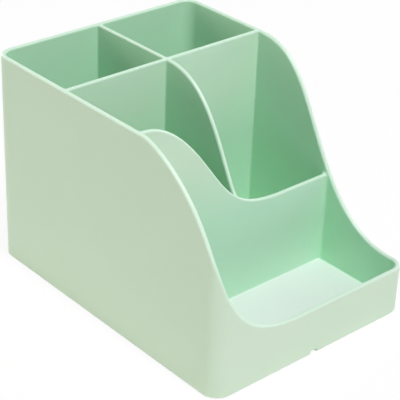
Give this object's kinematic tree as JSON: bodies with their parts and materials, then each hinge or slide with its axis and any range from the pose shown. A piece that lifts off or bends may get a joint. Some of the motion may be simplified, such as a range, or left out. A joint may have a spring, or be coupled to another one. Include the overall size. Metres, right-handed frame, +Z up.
{
  "type": "pen holder",
  "caption": "One-piece moulded desk pen holder: open cells divided by thin walls behind a low front tray, with rims that fall in smooth curves from back to front, on non-slip pads",
  "frame": {"origin": "middle of the footprint, on the surface that the pads stand on", "axes": "+X to the right as seen from the low front tray, +Y to the back, +Z up"},
  "size_m": [0.1116, 0.15, 0.1004],
  "materials": {
    "mint_plastic": "fine satin moulding texture",
    "pad_rubber": "matte"
  },
  "bodies": {
    "root": {"moulded_body": "mint_plastic", "foot_front_left": "pad_rubber", "foot_front_right": "pad_rubber", "foot_rear_left": "pad_rubber", "foot_rear_right": "pad_rubber"}
  },
  "joints": []
}
